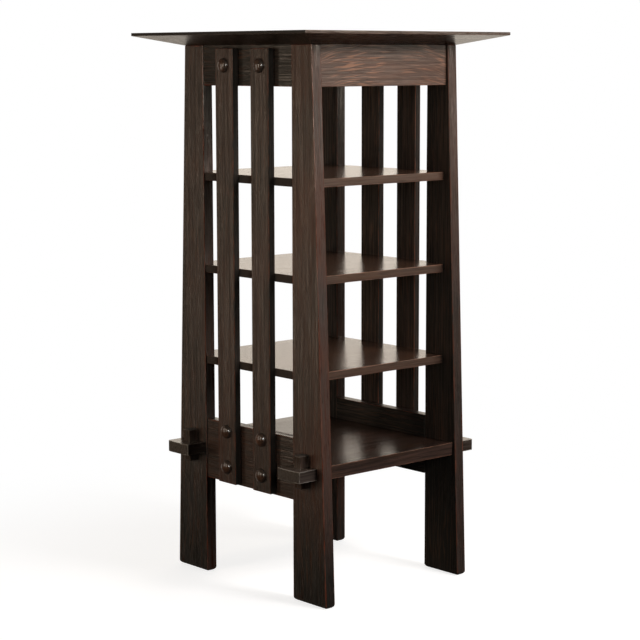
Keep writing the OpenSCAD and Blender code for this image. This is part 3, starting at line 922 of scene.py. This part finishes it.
seat_r, hole_r, sink_r, front, through, deep = (
    add(tree, MATH, (given[name], times), "MULTIPLY")
    for name, times in (("Seat Diameter", 0.5), ("Hole Diameter", 0.5), ("Sink Diameter", 0.5),
                        ("Thickness", 0.5), ("Thickness", 3), ("Seat Depth", 2)))
seat = add(tree, "GeometryNodeMeshCylinder", {"Vertices": 64, "Radius": seat_r, "Depth": deep})
hole = add(tree, "GeometryNodeMeshCylinder", {"Vertices": 32, "Radius": hole_r, "Depth": through})
sink = add(tree, "GeometryNodeMeshCone", {"Vertices": 32, "Radius Top": sink_r, "Radius Bottom": hole_r,
                                          "Depth": given["Sink Depth"]})
drop = add(tree, MATH, (given["Seat Depth"], given["Sink Depth"]), "ADD")
down = add(tree, MATH, (drop, -1), "MULTIPLY")
drill = add(tree, "GeometryNodeJoinGeometry", {0: [seat, hole, moved(tree, sink, z=down)]})
cuts = [moved(tree, drill, front, given[name], UPRIGHT_TO_Y) for name in PLUGS_AT]
slat = add(tree, "GeometryNodeMeshBoolean", {"Mesh 1": bar, "Mesh 2": cuts, "Self Intersection": True},
           "DIFFERENCE", solver="EXACT")
slat_y = add(tree, MATH, (given["Back"], front), "ADD")
close_tree(tree, given, on_both_sides(tree, slat, given["Apart"], slat_y, [0.0], turn=-90))
print("slat tree with", len(tree.nodes), "nodes")

# %% Working the slats
bars = grow("bars", tree, {**SLAT, **SEAT, **PLUGS_AT}, finishes["oak_frame"])
SLAT_TONES = {(-1, -1): 0.34, (-1, 1): 0.34, (1, -1): 0.35, (1, 1): 0.3}
# Painted shade: how much darker in tone a slat's back and its narrow sides are made
BACK_SHADE, SIDE_SHADE = 0.2, 0.42
slat_shifts = {place: own_shift(f"slat {place}") for place in SLAT_TONES}
slat_rules = {}
for x, y in SLAT_TONES:
    ends = [(x * c.x, y * c.y, c.z) for c in (lo, hi)]
    slat_rules[x, y] = board(*(Vector([f(pair) for pair in zip(*ends)]) for f in (min, max)))


def corner(co):
    """Which quarter of the stand a point is in."""
    return (1 if co.x > 0 else -1), (1 if co.y > 0 else -1)


def slat_rule(co):
    """The rule of the slat that a point is on."""
    return slat_rules[corner(co)]


slat_back = looks_in("slat_right_back", "x")


def slat_side(middle):
    """Is this one of a slat's narrow sides, which take painted shade?"""
    return abs(abs(middle.y) - SLAT["Apart"]) > 0.45 * SLAT["Width"]


def slat_tone(middle, co):
    """A slat's back is painted darker, as shade, and its narrow sides more so."""
    darker = BACK_SHADE if slat_back(middle) else SIDE_SHADE if slat_side(middle) else 0.0
    return SLAT_TONES[corner(middle)] - darker


bm = whole_faces(bars.data)
bpy.data.objects.remove(bars)
edges = arrises(bm, slat_rule)
print(len(edges), "arrises on four slats")
round_over(bm, edges, radius=1.2 * MM)
slats = finish_piece("side_slats", bm, SLAT_NODES, "zyx", slat_rule,
                     lambda co: slat_shifts[corner(co)], slat_tone)
give(slats, "inner", lambda middle: slat_back(middle) or slat_side(middle))
print(slats.name, len(slats.data.polygons), "faces")

# %% [markdown]
# ## Plugs
#
# A turned plug hides each screw. It stands well proud of the slat, round at the shoulder and
# flatter on its crown, so it catches the window as one small highlight. The tree starts from a
# cylinder with rings on its cap, and moves each ring to its place on the crown's curve. Each
# plug is turned a little differently in its seat, from a fixed seed.

# %% Plug tree
lo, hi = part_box("plugs_right")
SUNK = 6 * MM
PLUG = {"Diameter": 26 * MM, "Depth": SUNK, "Dome": hi.x - lo.x - SUNK, "Out": lo.x, "Apart": 50 * MM}
FULLNESS = 0.8  # 1 is a ball's crown, less is fuller at the shoulder
TWIST = 0.2  # radians

tree, given = plant("plugs", (*PLUG, *PLUGS_AT))
radius, half_depth = (add(tree, MATH, (given[name], 0.5), "MULTIPLY")
                      for name in ("Diameter", "Depth"))
rings = {"Vertices": 64, "Fill Segments": 12, "Radius": radius, "Depth": given["Depth"]}
body = add(tree, "GeometryNodeMeshCylinder", rings, fill_type="TRIANGLE_FAN")
body = moved(tree, body, z=half_depth)
place = add(tree, "GeometryNodeInputPosition")
flat = add(tree, VECTOR_MATH, (place, (1, 1, 0)), "MULTIPLY")
out = add(tree, VECTOR_MATH, {0: flat}, "LENGTH").outputs["Value"]
share = add(tree, MATH, (out, radius), "DIVIDE")
angle = add(tree, MATH, (share, math.pi / 2), "MULTIPLY")
wide, tall = (add(tree, MATH, {0: angle}, kind) for kind in ("SINE", "COSINE"))
wide, tall = (add(tree, MATH, (x, FULLNESS), "POWER") for x in (wide, tall))
spread = add(tree, MATH, (wide, radius), "MULTIPLY")
way = add(tree, VECTOR_MATH, {0: flat}, "NORMALIZE")
ring = add(tree, VECTOR_MATH, {0: way, "Scale": spread}, "SCALE")
rise = add(tree, MATH, (tall, given["Dome"], given["Depth"]), "MULTIPLY_ADD")
rise = add(tree, COMBINE, {2: rise})
crown = add(tree, VECTOR_MATH, (ring, rise), "ADD")
z = add(tree, SEPARATE, {0: place}).outputs["Z"]
on_cap = add(tree, "FunctionNodeCompare", (z, half_depth), "GREATER_THAN")
plug = add(tree, "GeometryNodeSetPosition", {"Geometry": body, "Selection": on_cap, "Position": crown})
limits = {0: (0, 0, -TWIST), 1: (0, 0, TWIST), "Seed": 7}
spin = add(tree, "FunctionNodeRandomValue", limits, data_type="FLOAT_VECTOR")
heights = [given[name] for name in PLUGS_AT]
close_tree(tree, given, on_both_sides(tree, plug, given["Apart"], given["Out"], heights, -90, -90, spin))
print("plug tree with", len(tree.nodes), "nodes")

# %% Working the plugs
buttons = grow("buttons", tree, {**PLUG, **PLUGS_AT}, finishes["oak_plug"])
bm = bmesh.new()
bm.from_mesh(buttons.data)
bpy.data.objects.remove(buttons)
rims = [e for e in bm.edges if e.calc_face_angle_signed(0) > ARRIS_ABOVE]
round_over(bm, rims, radius=0.5 * MM, segments=2)


def plug_name(co):
    """A name for the plug at a point, from its quarter and the nearest height."""
    return f"plug {corner(co)} {min(PLUGS_AT.values(), key=lambda z: abs(z - co.z)) / MM:.0f}"


def plug_tone(middle, co):
    """A tone of its own for each plug."""
    return random.Random(plug_name(middle)).uniform(0.3, 0.7)


no_arris = Vector((0, 0, 0)), Vector((1, 1, 1))
plugs = finish_piece("plugs", bm, ["plugs_left", "plugs_right"], "zyx", always(always(no_arris)),
                     lambda co: own_shift(plug_name(co)), plug_tone)
print(plugs.name, len(plugs.data.polygons), "faces")

# %% [markdown]
# ## Screws
#
# Steel screws hold the slats, the cleats and the top. They have a countersunk slotted head, a
# plain neck, and a thread that reaches the point. The thread is a spiral curve with a triangle
# for its profile, so it costs few faces. One tree makes them all, and each use gives it other
# places and another length.

# %% Steel
steel = bpy.data.materials.new("Steel, bright zinc dulled by age")
tree = bare_tree(steel)
place = add(tree, "ShaderNodeTexCoord").outputs["Object"]
speckle = add(tree, "ShaderNodeTexNoise", {"Vector": place, "Scale": 400, "Detail": 3})
dull = add(tree, MAP_RANGE, (speckle, 0.35, 0.65))
zinc = {0: dull, 6: paint("#8d8982"), 7: paint("#4f4740")}
colour = add(tree, "ShaderNodeMix", zinc, data_type="RGBA").outputs[2]
rough = add(tree, MAP_RANGE, {0: dull, 3: 0.3, 4: 0.55})
bump = add(tree, "ShaderNodeBump", {"Strength": 0.3, "Distance": 0.05 * MM, "Height": speckle})
skin = add(tree, "ShaderNodeBsdfPrincipled",
           {"Base Color": colour, "Metallic": 1.0, "Roughness": rough, "Normal": bump})
add(tree, "ShaderNodeOutputMaterial", {"Surface": skin})
finishes["screw_steel"] = steel
print("finish:", steel.name)

# %% Sizes and places of the screws
SCREW = {"Head Diameter": 8 * MM, "Head Height": 3 * MM, "Shank Diameter": 4 * MM, "Core Diameter": 2.8 * MM,
         "Tip": 4 * MM, "Neck": 9 * MM, "Pitch": 1.6 * MM, "Slot Width": 1.2 * MM, "Slot Depth": 1 * MM}
COLLAR = 1 * MM  # over which the neck narrows to the thread's core
POINT, THREAD_START = 0.03, 0.3  # widths of the tip and of the thread's first turn, as shares of the core's
CREST = 0.27  # the thread's size as a share of its pitch
# name: (nodes, length, apart, out, heights, tilt and turn in degrees)
SCREW_SETS = {
    "slat_screws": (["slat_screws_left", "slat_screws_right"], 22.5, 50, 181.5, (218, 284.5, 956.5), -90, -90),
    "cleat_side_screws": (["cleat_screws"], 32, 60, 134, (983,), 90, 0),
    "cleat_top_screws": (["top_screws"], 32, 90, 144, (973,), 180, 0),
}
print(len(SCREW_SETS), "sets of screws")


# %% Screws
def screw_shape(tree, given):
    """A screw whose head's face lies at z = 0: a line swept by a circle that grows and shrinks, with a
    slot and a thread."""
    half = {name: add(tree, MATH, (given[name], 0.5), "MULTIPLY")
            for name in ("Head Diameter", "Shank Diameter", "Core Diameter")}
    below = {name: add(tree, MATH, (given[name], -1), "MULTIPLY")
             for name in ("Length", "Head Height", "Neck")}
    end = add(tree, COMBINE, {2: below["Length"]})
    line = add(tree, "GeometryNodeCurvePrimitiveLine", {"End": end})
    line = add(tree, "GeometryNodeResampleCurve", {"Curve": line, "Count": 46})
    z = add(tree, SEPARATE, {0: add(tree, "GeometryNodeInputPosition")}).outputs["Z"]
    sink = {1: below["Head Height"], 2: 0, 3: half["Shank Diameter"], 4: half["Head Diameter"]}
    sink = add(tree, MAP_RANGE, {0: z, **sink})
    collar = add(tree, MATH, (below["Neck"], COLLAR), "ADD")
    waist = add(tree, MATH, (half["Core Diameter"], half["Shank Diameter"]), "SUBTRACT")
    waist = add(tree, MAP_RANGE, (z, below["Neck"], collar, waist, 0))
    radius = add(tree, MATH, (sink, waist), "ADD")
    tip_top = add(tree, MATH, (below["Length"], given["Tip"]), "ADD")
    point = add(tree, MAP_RANGE, (z, below["Length"], tip_top, POINT, 1))
    radius = add(tree, MATH, (radius, point), "MULTIPLY")
    ring = add(tree, "GeometryNodeCurvePrimitiveCircle", {"Resolution": 24, "Radius": 1.0})
    swept = {"Curve": line, "Profile Curve": ring, "Scale": radius, "Fill Caps": True}
    body = add(tree, "GeometryNodeCurveToMesh", swept)
    slot = add(tree, COMBINE, (given["Head Diameter"], given["Slot Width"], given["Slot Depth"]))
    # The slot's cutter reaches past the head, and half of it lies above the face
    slot = add(tree, VECTOR_MATH, (slot, (1.2, 1, 2)), "MULTIPLY")
    slot = add(tree, "GeometryNodeMeshCube", {"Size": slot})
    parts = {"Mesh 1": body, "Mesh 2": slot}
    body = add(tree, "GeometryNodeMeshBoolean", parts, "DIFFERENCE", solver="EXACT")
    threaded = add(tree, MATH, (given["Length"], given["Neck"]), "SUBTRACT")
    turns = add(tree, MATH, (threaded, given["Pitch"]), "DIVIDE")
    thin = add(tree, MATH, (half["Core Diameter"], THREAD_START), "MULTIPLY")
    spiral = add(tree, "GeometryNodeCurveSpiral", {
        "Resolution": 20, "Rotations": turns, "Height": threaded,
        "Start Radius": thin, "End Radius": half["Core Diameter"]})
    crest = add(tree, MATH, (given["Pitch"], CREST), "MULTIPLY")
    wedge = add(tree, "GeometryNodeCurvePrimitiveCircle", {"Resolution": 3, "Radius": crest})
    thread = add(tree, "GeometryNodeCurveToMesh", {"Curve": spiral, "Profile Curve": wedge, "Fill Caps": True})
    thread = add(tree, "GeometryNodeTransform", {"Geometry": thread, "Translation": end})
    return add(tree, "GeometryNodeJoinGeometry", {0: [body, thread]})


for name, (nodes, length, apart, out, heights, tilt, turn) in SCREW_SETS.items():
    rows = {f"Height {h}": h * MM for h in heights}
    places = {"Length": length * MM, "Apart": apart * MM, "Out": out * MM, **rows}
    tree, given = plant(name, (*SCREW, *places))
    screw, levels = screw_shape(tree, given), [given[row] for row in rows]
    close_tree(tree, given, on_both_sides(tree, screw, given["Apart"], given["Out"], levels, tilt, turn))
    screws = grow(name, tree, {**SCREW, **places}, steel)
    for edge in screws.data.edges:
        edge.use_edge_sharp = False
    screws.data.polygons.foreach_set("use_smooth", [False] * len(screws.data.polygons))
    stands_for(screws, nodes)
    print(screws.name, len(screws.data.polygons), "faces")
